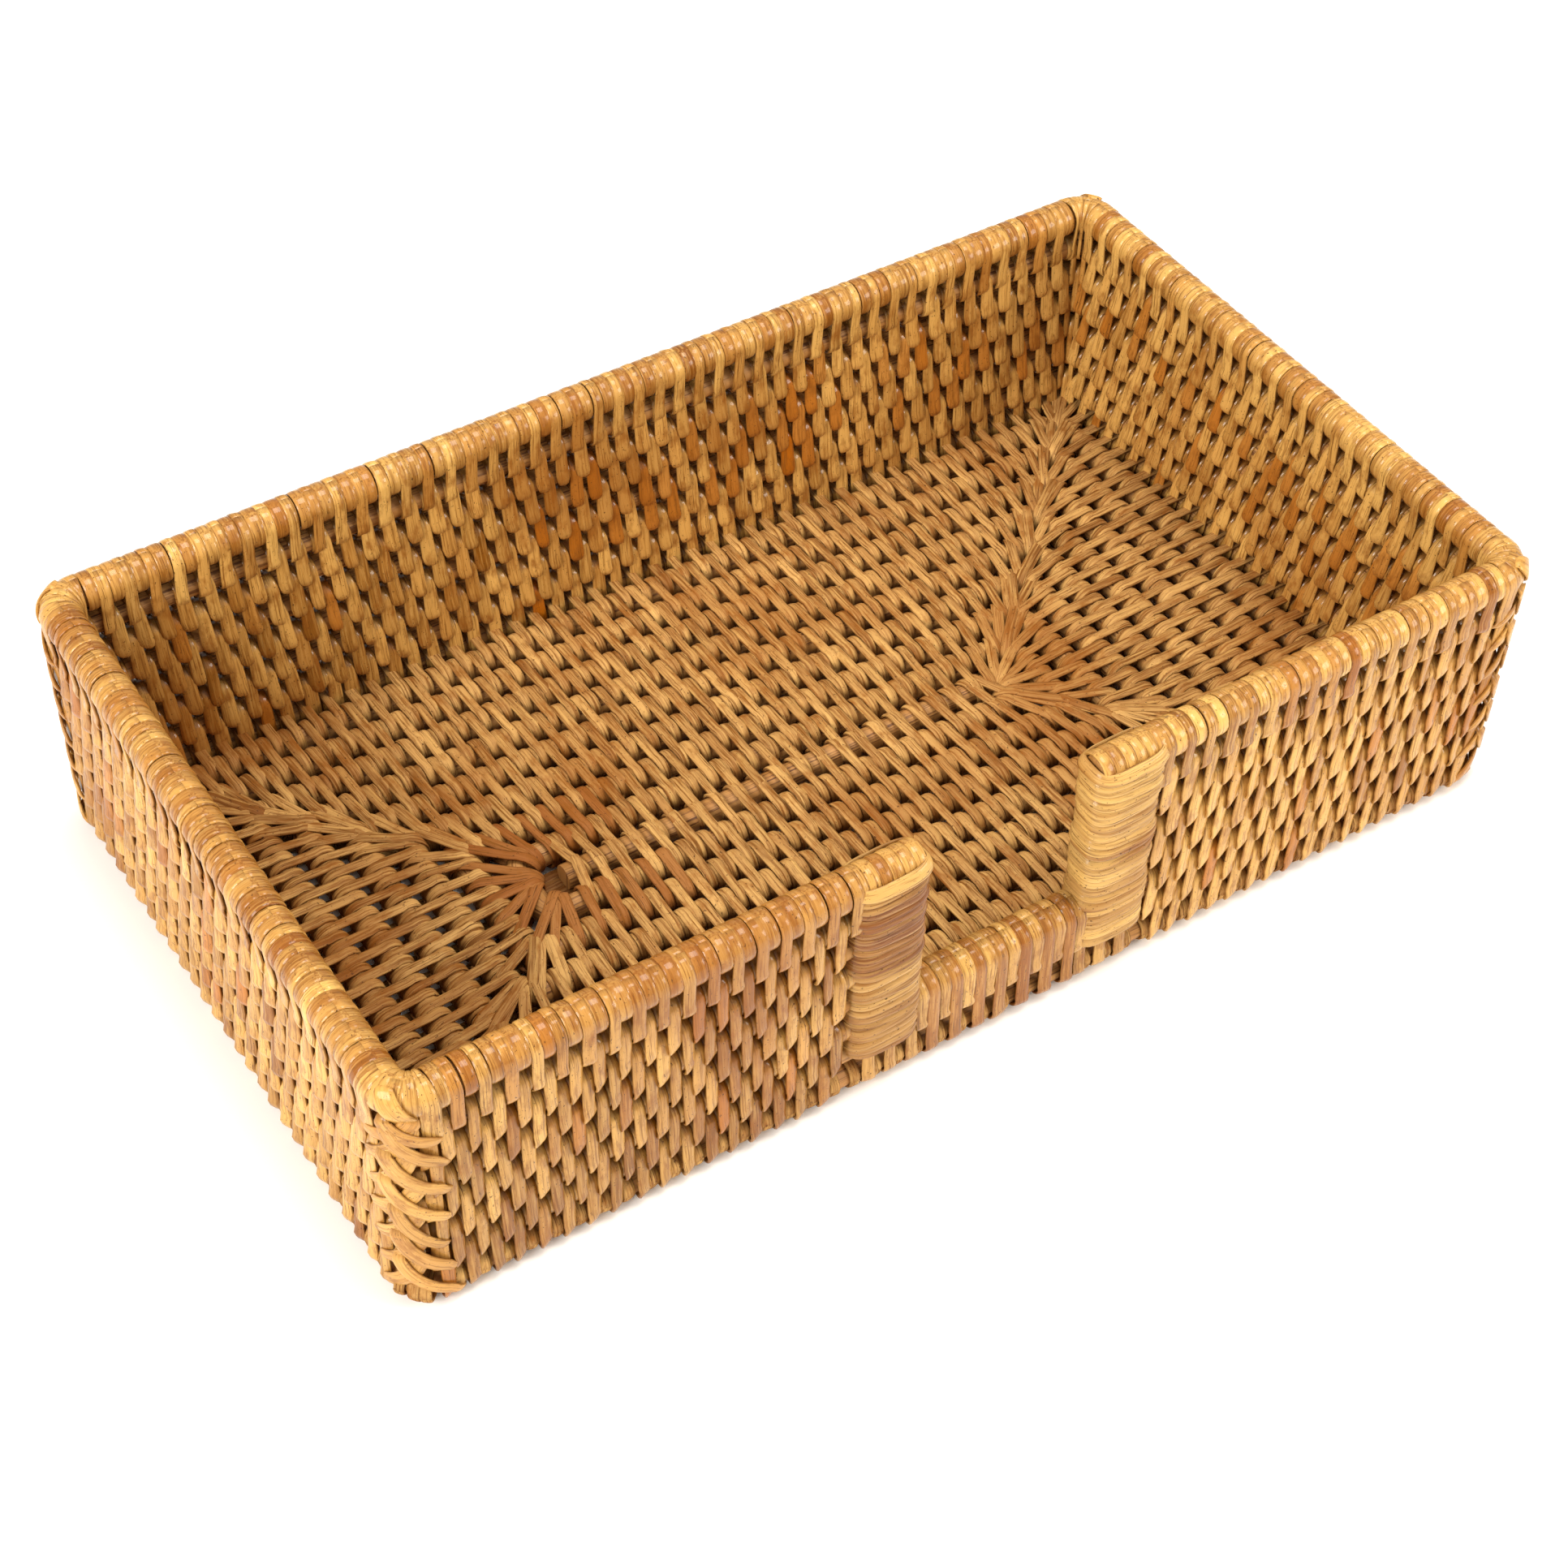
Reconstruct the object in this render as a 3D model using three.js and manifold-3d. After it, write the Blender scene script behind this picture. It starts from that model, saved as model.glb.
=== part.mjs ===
// A rectangular bread basket, coiled from rattan: round rods laid course on course and
// stitched together with flat rattan strips, with a finger cut-out in the front wall.
// Millimetres, +Z up, +X along the long side, the cut-out faces -Y, the floor stands on z = 0.

import * as THREE from 'three';
import { mergeVertices } from 'three/addons/utils/BufferGeometryUtils.js';
import Module from 'manifold-3d';

const wasm = await Module();
wasm.setup();

// ---- Driving dimensions ----

const gap = 0.3;                    // clearance between neighbouring pieces
const rimLength = 233;              // rim rod, centre to centre along X
const rimWidth = 132.3;             // rim rod, centre to centre along Y
const wallCourses = 7;              // rods stacked under the rim, the lowest one level with the floor
const wholeCourses = 2;             // the lowest courses, which run on under the cut-out
const coursePitch = 7.08;           // height of one stitched course
const courseRodRadius = 2.5;        // round rattan core of the floor and the walls
const wallHalfThickness = 3.6;      // rod, strip and the strip under it
const wallValley = 3.0;             // half the wall's thickness between two courses
const courseBend = 4.5;             // centre-line radius of a wall course at a corner
const courseJoinInset = 20;         // from the front right corner to where a whole course closes

const rimRodRadius = 2.8;
const rimWrapRadius = 3.95;         // outside of the strips wound round the rim
const rimBend = 5;
const rimCornerStub = 1;            // straight stretch at both ends of a rim corner's wrap

const floorPasses = 8;              // rods between the floor's middle rod and each long wall
const floorThickness = 7.08;
const floorBend = 3.3;              // centre-line radius of the floor coil's corners
const floorRodPasses = [3, 6, 8];   // the pass at whose end each length of floor rod stops

const cutoutHalfWidth = 17.5;       // clear opening between the two bound posts
const postWidth = 15;
const postThickness = 8.7;
const postBottom = 10.9;
const postCornerRadius = 2.5;
const cutoutRodBend = 5;
const cutoutRodTopGap = 0.5;        // from the rim rod's underside to the cut-out rod's ends
const courseEndGap = 0.4;           // from the cut-out rod's side to the ends of the cut courses
const rimEndInset = 1.1;            // how far inside a post the rim rod's cut end lies
const lashingReach = 4;             // how far a corner lashing runs along each wall past the bend

const rodSides = 8;                 // chords round a rod, and round the bore that it lies in
const sleeveSides = 12;
const floorBendSteps = 2;           // chords in each bend of the floor coil
const courseBendSteps = 3;
const cornerBendSteps = 4;          // chords in the bend of a corner lashing or a rim corner
const bulgeSegments = 4;            // chords in a stitched course's bulge
const postArcSegments = 3;
const weldDistance = 1e-4;

// ---- Sizes worked out from them ----

const halfLength = rimLength / 2;
const halfWidth = rimWidth / 2;
const rimHeight = wallCourses * coursePitch + rimWrapRadius;
const basketHeight = rimHeight + rimWrapRadius;
const wallTop = wallCourses * coursePitch - gap;
const floorPitch = halfWidth / (floorPasses + 1);
const leftFan = -(halfLength - (floorPasses + 1) * floorPitch);
const rightFan = halfLength - (floorPasses + 1.5) * floorPitch;
const sillHeight = wholeCourses * coursePitch + rimWrapRadius;
const postInner = cutoutHalfWidth;
const postOuter = cutoutHalfWidth + postWidth;
const cutoutRodOffset = postInner + rimWrapRadius;
const frontFace = -(halfWidth + rimWrapRadius);

const up = new THREE.Vector3(0, 0, 1);

// ---- Finishes ----

const rodFinish = finish(0xa8793f, 0.6);
const wallStripFinish = finish(0xc9924c, 0.45);
const floorStripFinish = finish(0xb98d57, 0.6);
const rimStripFinish = finish(0xd2a05c, 0.4);
const postStripFinish = finish(0xc69a5e, 0.4);
const lashingFinish = finish(0xd0a264, 0.45);

function finish(color, roughness) {
  return new THREE.MeshStandardMaterial({ color, roughness, metalness: 0 });
}

// ---- Shared shapes ----

// A line through corners with rounded bends, measured by its own stations, so that a straight
// stretch takes one step and a bend a few. Its section keeps one fixed side direction.
class BentLine extends THREE.Curve {
  constructor(stations, side) {
    super();
    this.stations = stations;
    this.side = side;
  }

  getPointAt(u) {
    return this.stations[Math.round(u * (this.stations.length - 1))].clone();
  }

  computeFrenetFrames() {
    const last = this.stations.length - 1;
    const tangents = this.stations.map((station, i) => {
      const before = this.stations[Math.max(i - 1, 0)];
      const after = this.stations[Math.min(i + 1, last)];
      const into = station.clone().sub(before).normalize();
      const out = after.clone().sub(station).normalize();
      return into.add(out).normalize();
    });
    const binormals = tangents.map(() => this.side.clone());
    const normals = tangents.map((tangent) => this.side.clone().cross(tangent).normalize());
    return { tangents, normals, binormals };
  }
}

// Stations along straight stretches between corners, each corner rounded with `steps` chords.
function bentStations(corners, radius, steps) {
  const stations = [corners[0].clone()];
  for (let i = 1; i < corners.length - 1; i += 1) {
    const back = corners[i - 1].clone().sub(corners[i]).normalize();
    const ahead = corners[i + 1].clone().sub(corners[i]).normalize();
    const centre = corners[i].clone().addScaledVector(back, radius).addScaledVector(ahead, radius);
    for (let step = 0; step <= steps; step += 1) {
      const angle = (Math.PI / 2) * (step / steps);
      const station = centre.clone();
      station.addScaledVector(ahead, -radius * Math.cos(angle));
      station.addScaledVector(back, -radius * Math.sin(angle));
      stations.push(station);
    }
  }
  stations.push(corners.at(-1).clone());
  return stations;
}

// Lengthens both ends of a line, for a cutter that must clear the ends of a rod.
function lengthened(stations, extra) {
  const longer = stations.map((station) => station.clone());
  const lead = longer[0].clone().sub(longer[1]).normalize();
  const tail = longer.at(-1).clone().sub(longer.at(-2)).normalize();
  longer[0].addScaledVector(lead, extra);
  longer.at(-1).addScaledVector(tail, extra);
  return longer;
}

function swept(shape, stations, side) {
  const steps = stations.length - 1;
  const extrudePath = new BentLine(stations, side);
  return new THREE.ExtrudeGeometry(shape, { steps, extrudePath, bevelEnabled: false });
}

function polygonPoints(radius, sides) {
  const points = [];
  for (let i = 0; i < sides; i += 1) {
    const angle = (2 * Math.PI * i) / sides;
    points.push(new THREE.Vector2(radius * Math.cos(angle), radius * Math.sin(angle)));
  }
  return points;
}

function rod(stations, radius, side = up) {
  return swept(new THREE.Shape(polygonPoints(radius, rodSides)), stations, side);
}

// A sleeve of wound strips round a rod.
function sleeve(stations, outer, inner) {
  const shape = new THREE.Shape(polygonPoints(outer, sleeveSides));
  shape.holes.push(new THREE.Path(polygonPoints(inner, rodSides)));
  return swept(shape, stations, up);
}

function solidOf(geometry) {
  const bare = new THREE.BufferGeometry();
  bare.setAttribute('position', geometry.getAttribute('position').clone());
  if (geometry.index) {
    bare.setIndex(geometry.index.clone());
  }
  const merged = mergeVertices(bare, weldDistance);
  const vertProperties = new Float32Array(merged.getAttribute('position').array);
  const triVerts = new Uint32Array(merged.index.array);
  return new wasm.Manifold(new wasm.Mesh({ numProp: 3, vertProperties, triVerts }));
}

function geometryOf(solid) {
  const mesh = solid.getMesh();
  const geometry = new THREE.BufferGeometry();
  geometry.setAttribute('position', new THREE.BufferAttribute(mesh.vertProperties, 3));
  geometry.setIndex(new THREE.BufferAttribute(mesh.triVerts, 1));
  return geometry;
}

function cutBy(geometry, cutters) {
  let solid = solidOf(geometry);
  for (const cutter of cutters) {
    solid = solid.subtract(solidOf(cutter));
  }
  return geometryOf(solid);
}

const basket = new THREE.Group();

function add(name, geometry, material) {
  const mesh = new THREE.Mesh(geometry, material);
  mesh.name = name;
  basket.add(mesh);
}

// ---- Floor coil: one rectangular spiral, spliced from three lengths of rod ----

// The coil starts with a cut end in the middle of the floor. Every pass along the front is one
// pitch further out, turns round the left fan, comes back along the rear and turns round the right.
function floorCoilCorners() {
  const corners = [[leftFan, 0]];
  for (let pass = 1; pass <= floorPasses; pass += 1) {
    const right = rightFan + (pass - 0.5) * floorPitch;
    const left = leftFan - pass * floorPitch;
    corners.push([right, (pass - 1) * floorPitch]);
    corners.push([right, -pass * floorPitch]);
    corners.push([left, -pass * floorPitch]);
    corners.push([left, pass * floorPitch]);
  }
  const lastRight = rightFan + (floorPasses + 0.5) * floorPitch;
  corners.push([lastRight, floorPasses * floorPitch]);
  corners.push([lastRight, -(halfWidth - wallHalfThickness - gap)]);
  return corners.map(([x, y]) => new THREE.Vector3(x, y, coursePitch / 2));
}

// The coil's stations for each spliced length. Two lengths meet end to end in the middle of a
// rear pass, where the stitches hold both.
function floorRodLengths() {
  const corners = floorCoilCorners();
  const lengths = [];
  let stretch = [corners[0]];
  let next = 1;
  for (const lastPass of floorRodPasses) {
    const stop = lastPass === floorPasses ? corners.length : 4 * lastPass + 1;
    stretch.push(...corners.slice(next, stop));
    if (stop < corners.length) {
      const splice = new THREE.Vector3(0, lastPass * floorPitch, coursePitch / 2);
      stretch.push(splice.clone().setX(-gap / 2));
      lengths.push(stretch);
      stretch = [splice.setX(gap / 2)];
    }
    next = stop;
  }
  lengths.push(stretch);
  return lengths.map((points) => bentStations(points, floorBend, floorBendSteps));
}

const floorRods = floorRodLengths();
floorRods.forEach((stations, i) => {
  add(`floor_coil_rod_${i + 1}`, rod(stations, courseRodRadius), rodFinish);
});

// ---- Wall courses ----

function courseHeight(course) {
  return (course - 0.5) * coursePitch;
}

// A full course starts and ends near the front right corner; a cut course stops at both posts.
function courseStations(startX, endX, bend, height) {
  const corners = [
    [startX, -halfWidth],
    [-halfLength, -halfWidth],
    [-halfLength, halfWidth],
    [halfLength, halfWidth],
    [halfLength, -halfWidth],
    [endX, -halfWidth],
  ];
  const points = corners.map(([x, y]) => new THREE.Vector3(x, y, height));
  return bentStations(points, bend, courseBendSteps);
}

const courseEnd = cutoutRodOffset + rimRodRadius + courseEndGap;
const courseJoin = halfLength - courseJoinInset;
const courses = [];
for (let course = 1; course <= wallCourses; course += 1) {
  const whole = course <= wholeCourses;
  const startX = whole ? courseJoin - gap / 2 : -courseEnd;
  const endX = whole ? courseJoin + gap / 2 : courseEnd;
  const stations = courseStations(startX, endX, courseBend, courseHeight(course));
  courses.push(stations);
  add(`wall_course_rod_${course}`, rod(stations, courseRodRadius), rodFinish);
}

// ---- Rim rod and the bent rod that frames the cut-out ----

const rimEnd = postInner + rimEndInset;
const rimStations = courseStations(-rimEnd, rimEnd, rimBend, rimHeight);
add('rim_rod', rod(rimStations, rimRodRadius), rodFinish);

const cutoutRodTop = rimHeight - rimRodRadius - cutoutRodTopGap;
const cutoutStations = bentStations([
  new THREE.Vector3(-cutoutRodOffset, -halfWidth, cutoutRodTop),
  new THREE.Vector3(-cutoutRodOffset, -halfWidth, sillHeight),
  new THREE.Vector3(cutoutRodOffset, -halfWidth, sillHeight),
  new THREE.Vector3(cutoutRodOffset, -halfWidth, cutoutRodTop),
], cutoutRodBend, courseBendSteps);
const acrossWall = new THREE.Vector3(0, 1, 0);
add('cutout_frame_rod', rod(cutoutStations, rimRodRadius, acrossWall), rodFinish);

// ---- Stitched strips of the walls ----

// The section of a stitched wall: one bulge for each course on both faces, one bore for each rod.
function wallSection(firstCourse, lastCourse, top) {
  const bottom = (firstCourse - 1) * coursePitch + (firstCourse > 1 ? gap : 0);
  const shape = new THREE.Shape();
  shape.moveTo(wallValley, bottom);
  for (let course = firstCourse; course <= lastCourse; course += 1) {
    const nextEdge = course === lastCourse ? top : course * coursePitch;
    const bulge = 2 * wallHalfThickness - wallValley;
    shape.quadraticCurveTo(bulge, courseHeight(course), wallValley, nextEdge);
  }
  shape.lineTo(-wallValley, top);
  for (let course = lastCourse; course >= firstCourse; course -= 1) {
    const nextEdge = course === firstCourse ? bottom : (course - 1) * coursePitch;
    const bulge = 2 * wallHalfThickness - wallValley;
    shape.quadraticCurveTo(-bulge, courseHeight(course), -wallValley, nextEdge);
  }
  for (let course = firstCourse; course <= lastCourse; course += 1) {
    const bore = polygonPoints(courseRodRadius + gap, rodSides);
    bore.forEach((point) => point.add(new THREE.Vector2(0, courseHeight(course))));
    shape.holes.push(new THREE.Path(bore));
  }
  return shape;
}

// A stitched wall between two points, its outer face to the left of the way from one to the other.
function wallPanel(section, from, to) {
  const along = to.clone().sub(from);
  const depth = along.length();
  const settings = { depth, bevelEnabled: false, curveSegments: bulgeSegments, steps: 1 };
  const geometry = new THREE.ExtrudeGeometry(section, settings);
  const forward = along.normalize();
  const outward = up.clone().cross(forward);
  const place = new THREE.Matrix4().makeBasis(outward, up, forward).setPosition(from);
  return geometry.applyMatrix4(place);
}

const panelEndX = halfLength - courseBend - lashingReach - gap;
const panelEndY = halfWidth - courseBend - lashingReach - gap;
const fullSection = wallSection(1, wallCourses, wallTop);

function addWall(name, section, fromX, fromY, toX, toY) {
  const from = new THREE.Vector3(fromX, fromY, 0);
  const to = new THREE.Vector3(toX, toY, 0);
  add(name, wallPanel(section, from, to), wallStripFinish);
}

const postSide = postOuter + gap;
addWall('weave_back', fullSection, -panelEndX, halfWidth, panelEndX, halfWidth);
addWall('weave_right', fullSection, halfLength, panelEndY, halfLength, -panelEndY);
addWall('weave_left', fullSection, -halfLength, -panelEndY, -halfLength, panelEndY);
addWall('weave_front_right', fullSection, panelEndX, -halfWidth, postSide, -halfWidth);
addWall('weave_front_left', fullSection, -postSide, -halfWidth, -panelEndX, -halfWidth);

// Under the cut-out only two courses are stitched: the lowest runs under both posts too.
const baseSection = wallSection(1, 1, coursePitch);
const sillTop = wholeCourses * coursePitch - gap;
const sillSection = wallSection(wholeCourses, wholeCourses, sillTop);
addWall('weave_front_base', baseSection, postOuter, -halfWidth, -postOuter, -halfWidth);
addWall('weave_front_sill', sillSection, postInner - gap, -halfWidth, gap - postInner, -halfWidth);

// ---- Corner lashings: curved strips over each outer corner, one to a course ----

function lashingSection() {
  const inner = courseRodRadius + gap;
  const shape = new THREE.Shape();
  shape.moveTo(inner, 0);
  shape.lineTo(wallValley + gap, 0);
  for (let course = 1; course <= wallCourses; course += 1) {
    const nextEdge = course === wallCourses ? wallTop : course * coursePitch;
    shape.lineTo(wallHalfThickness, courseHeight(course));
    shape.lineTo(wallValley + gap, nextEdge);
  }
  shape.lineTo(inner, wallTop);
  return shape;
}

function addLashing(name, from, corner, to) {
  const stations = bentStations([from, corner, to], courseBend, cornerBendSteps);
  add(`corner_lashing_${name}`, swept(lashingSection(), stations, up), lashingFinish);
}

const nearX = halfLength - courseBend - lashingReach;
const nearY = halfWidth - courseBend - lashingReach;
const point = (x, y, z = 0) => new THREE.Vector3(x, y, z);
addLashing('front_left', point(-nearX, -halfWidth), point(-halfLength, -halfWidth),
  point(-halfLength, -nearY));
addLashing('back_left', point(-halfLength, nearY), point(-halfLength, halfWidth),
  point(-nearX, halfWidth));
addLashing('back_right', point(nearX, halfWidth), point(halfLength, halfWidth),
  point(halfLength, nearY));
addLashing('front_right', point(halfLength, -nearY), point(halfLength, -halfWidth),
  point(nearX, -halfWidth));

// ---- Strips wound round the rim and the sill ----

const rimBore = rimRodRadius + gap;
const rimCornerReach = rimBend + rimCornerStub;
const rimStraightX = halfLength - rimCornerReach - gap;
const rimStraightY = halfWidth - rimCornerReach - gap;

function addRimWrap(name, stations) {
  add(`rim_wrap_${name}`, sleeve(stations, rimWrapRadius, rimBore), rimStripFinish);
}

const rimPoint = (x, y) => point(x, y, rimHeight);
addRimWrap('back', [rimPoint(-rimStraightX, halfWidth), rimPoint(rimStraightX, halfWidth)]);
addRimWrap('right', [rimPoint(halfLength, rimStraightY), rimPoint(halfLength, -rimStraightY)]);
addRimWrap('left', [rimPoint(-halfLength, -rimStraightY), rimPoint(-halfLength, rimStraightY)]);
addRimWrap('front_right', [rimPoint(rimStraightX, -halfWidth), rimPoint(postSide, -halfWidth)]);
addRimWrap('front_left', [rimPoint(-postSide, -halfWidth), rimPoint(-rimStraightX, -halfWidth)]);

function addRimCorner(name, signX, signY) {
  const corner = rimPoint(signX * halfLength, signY * halfWidth);
  const alongX = rimPoint(signX * (halfLength - rimCornerReach), signY * halfWidth);
  const alongY = rimPoint(signX * halfLength, signY * (halfWidth - rimCornerReach));
  const stations = bentStations([alongX, corner, alongY], rimBend, cornerBendSteps);
  add(`rim_wrap_corner_${name}`, sleeve(stations, rimWrapRadius, rimBore), rimStripFinish);
}

addRimCorner('front_left', -1, -1);
addRimCorner('back_left', -1, 1);
addRimCorner('back_right', 1, 1);
addRimCorner('front_right', 1, -1);

const sillEnd = postInner - gap;
const sillLine = [point(sillEnd, -halfWidth, sillHeight), point(-sillEnd, -halfWidth, sillHeight)];
add('sill_wrap', sleeve(sillLine, rimWrapRadius, rimBore), rimStripFinish);

// ---- Post bindings: level strips bound round the ends of the courses beside the cut-out ----

function postBinding(side) {
  const halfPost = postWidth / 2;
  const shape = new THREE.Shape();
  const r = postCornerRadius;
  shape.moveTo(-halfPost + r, 0);
  shape.lineTo(halfPost - r, 0);
  shape.absarc(halfPost - r, r, r, -Math.PI / 2, 0, false);
  shape.lineTo(halfPost, postThickness - r);
  shape.absarc(halfPost - r, postThickness - r, r, 0, Math.PI / 2, false);
  shape.lineTo(-halfPost + r, postThickness);
  shape.absarc(-halfPost + r, postThickness - r, r, Math.PI / 2, Math.PI, false);
  shape.lineTo(-halfPost, r);
  shape.absarc(-halfPost + r, r, r, Math.PI, 1.5 * Math.PI, false);
  const depth = basketHeight - postBottom;
  const settings = { depth, bevelEnabled: false, curveSegments: postArcSegments };
  const block = new THREE.ExtrudeGeometry(shape, settings);
  block.translate(side * (postInner + halfPost), frontFace, postBottom);
  const inside = courses.slice(1).map((stations) => {
    return rod(lengthened(stations, gap), courseRodRadius + gap);
  });
  inside.push(rod(lengthened(rimStations, gap), rimBore));
  inside.push(rod(lengthened(cutoutStations, gap), rimBore, acrossWall));
  return cutBy(block, inside);
}

add('post_binding_left', postBinding(-1), postStripFinish);
add('post_binding_right', postBinding(1), postStripFinish);

// ---- Stitched strips of the floor: four mitred fields that the coil runs through ----

const fieldEndX = halfLength - wallHalfThickness - gap;
const fieldEndY = halfWidth - wallHalfThickness - gap;
const fanY = -floorPitch / 2;       // the right fan sits between the middle rod and the first pass

// Moves every edge of an outline inwards, so that neighbouring fields don't touch.
function insetOutline(points, inset) {
  return points.map((corner, i) => {
    const before = points.at(i - 1);
    const after = points[(i + 1) % points.length];
    const into = corner.clone().sub(before).normalize();
    const out = after.clone().sub(corner).normalize();
    const bisector = new THREE.Vector2(-into.y - out.y, into.x + out.x).normalize();
    const reach = inset / (bisector.x * -into.y + bisector.y * into.x);
    return corner.clone().addScaledVector(bisector, reach);
  });
}

function addFloorField(name, outline) {
  const points = insetOutline(outline.map(([x, y]) => new THREE.Vector2(x, y)), gap / 2);
  const settings = { depth: floorThickness, bevelEnabled: false };
  const slab = new THREE.ExtrudeGeometry(new THREE.Shape(points), settings);
  const channels = floorRods.map((stations) => {
    return rod(lengthened(stations, gap), courseRodRadius + gap);
  });
  add(`floor_weave_${name}`, cutBy(slab, channels), floorStripFinish);
}

const frontMitreX = rightFan + fieldEndY + fanY;
addFloorField('back', [[leftFan + fanY, fanY], [rightFan, fanY], [fieldEndX, fieldEndY],
  [-fieldEndX, fieldEndY], [leftFan, 0]]);
addFloorField('right', [[rightFan, fanY], [frontMitreX, -fieldEndY], [fieldEndX, -fieldEndY],
  [fieldEndX, fieldEndY]]);
addFloorField('front', [[leftFan + fanY, fanY], [-fieldEndX, -fieldEndY],
  [frontMitreX, -fieldEndY], [rightFan, fanY]]);
addFloorField('left', [[leftFan, 0], [-fieldEndX, fieldEndY], [-fieldEndX, -fieldEndY],
  [leftFan + fanY, fanY]]);

export default basket;
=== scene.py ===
"""A rectangular bread basket, coiled from round rattan rods and stitched with flat rattan strips.

Every rod and every stitch is modelled, in the order in which the real basket is built: the floor
coil, the wall courses, the rim and cut-out rods, then the strips that hold them together.
Lengths are in millimetres until a mesh is made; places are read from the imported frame.
"""

import math
import random

import bpy
import numpy as np
from mathutils import Matrix, Vector


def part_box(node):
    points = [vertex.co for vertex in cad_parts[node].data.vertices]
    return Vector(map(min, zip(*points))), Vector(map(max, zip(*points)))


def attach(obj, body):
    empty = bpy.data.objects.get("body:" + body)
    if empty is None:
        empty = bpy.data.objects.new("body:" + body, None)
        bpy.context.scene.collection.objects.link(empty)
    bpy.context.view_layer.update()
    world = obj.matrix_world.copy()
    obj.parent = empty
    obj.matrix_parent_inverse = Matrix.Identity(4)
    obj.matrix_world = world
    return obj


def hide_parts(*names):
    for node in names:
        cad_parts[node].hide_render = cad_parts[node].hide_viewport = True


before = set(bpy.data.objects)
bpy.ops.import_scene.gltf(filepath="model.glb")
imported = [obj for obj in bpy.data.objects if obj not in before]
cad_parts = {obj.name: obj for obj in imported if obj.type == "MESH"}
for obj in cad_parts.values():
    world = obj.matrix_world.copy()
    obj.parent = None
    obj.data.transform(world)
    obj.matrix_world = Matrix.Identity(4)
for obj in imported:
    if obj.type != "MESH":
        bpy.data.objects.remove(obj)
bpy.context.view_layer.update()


# ---- Floor coil --------------------------------------------------------------------------------
# Round rattan core laid as one flat rectangular spiral from a cut end in the middle of the floor.
# It is spliced from three lengths; the stitches hold each length to the pass inside it.

MM = 0.001
UP = np.array([0.0, 0.0, 1.0])


def node_box(node):
    """A CAD node's lowest and highest corners, in millimetres."""
    low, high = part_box(node)
    return np.array(low) / MM, np.array(high) / MM


def rod_middle(node):
    """The height of a level rod's centre line and its radius."""
    low, high = node_box(node)
    return (low[2] + high[2]) / 2, (high[2] - low[2]) / 2


PASSES = 8
FLOOR_Z, ROD_RADIUS = rod_middle("floor_coil_rod_3")
coil_low, coil_high = node_box("floor_coil_rod_3")
FLOOR_PITCH = (coil_high[1] - ROD_RADIUS) / PASSES
LEFT_FAN = coil_low[0] + ROD_RADIUS + PASSES * FLOOR_PITCH
RIGHT_FAN = coil_high[0] - ROD_RADIUS - (PASSES + 0.5) * FLOOR_PITCH
FLOOR_BEND = 3.3        # bend radius at the coil's corners
SPLICE_GAP = 0.2        # between the cut ends of two lengths of rod


def bent_line(corners, bend, steps=6):
    """A line through corners, each rounded to a bend radius."""
    corners = [np.array(c, float) for c in corners]
    line = [corners[0]]
    for before, corner, after in zip(corners, corners[1:], corners[2:]):
        back = (before - corner) / np.linalg.norm(before - corner)
        ahead = (after - corner) / np.linalg.norm(after - corner)
        centre = corner + bend * (back + ahead)
        for step in range(steps + 1):
            angle = math.pi / 2 * step / steps
            line.append(centre - bend * (ahead * math.cos(angle) + back * math.sin(angle)))
    line.append(corners[-1])
    return np.array(line)


def unit(vectors):
    """Vectors scaled to length 1."""
    return vectors / np.maximum(np.linalg.norm(vectors, axis=-1, keepdims=True), 1e-9)


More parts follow.
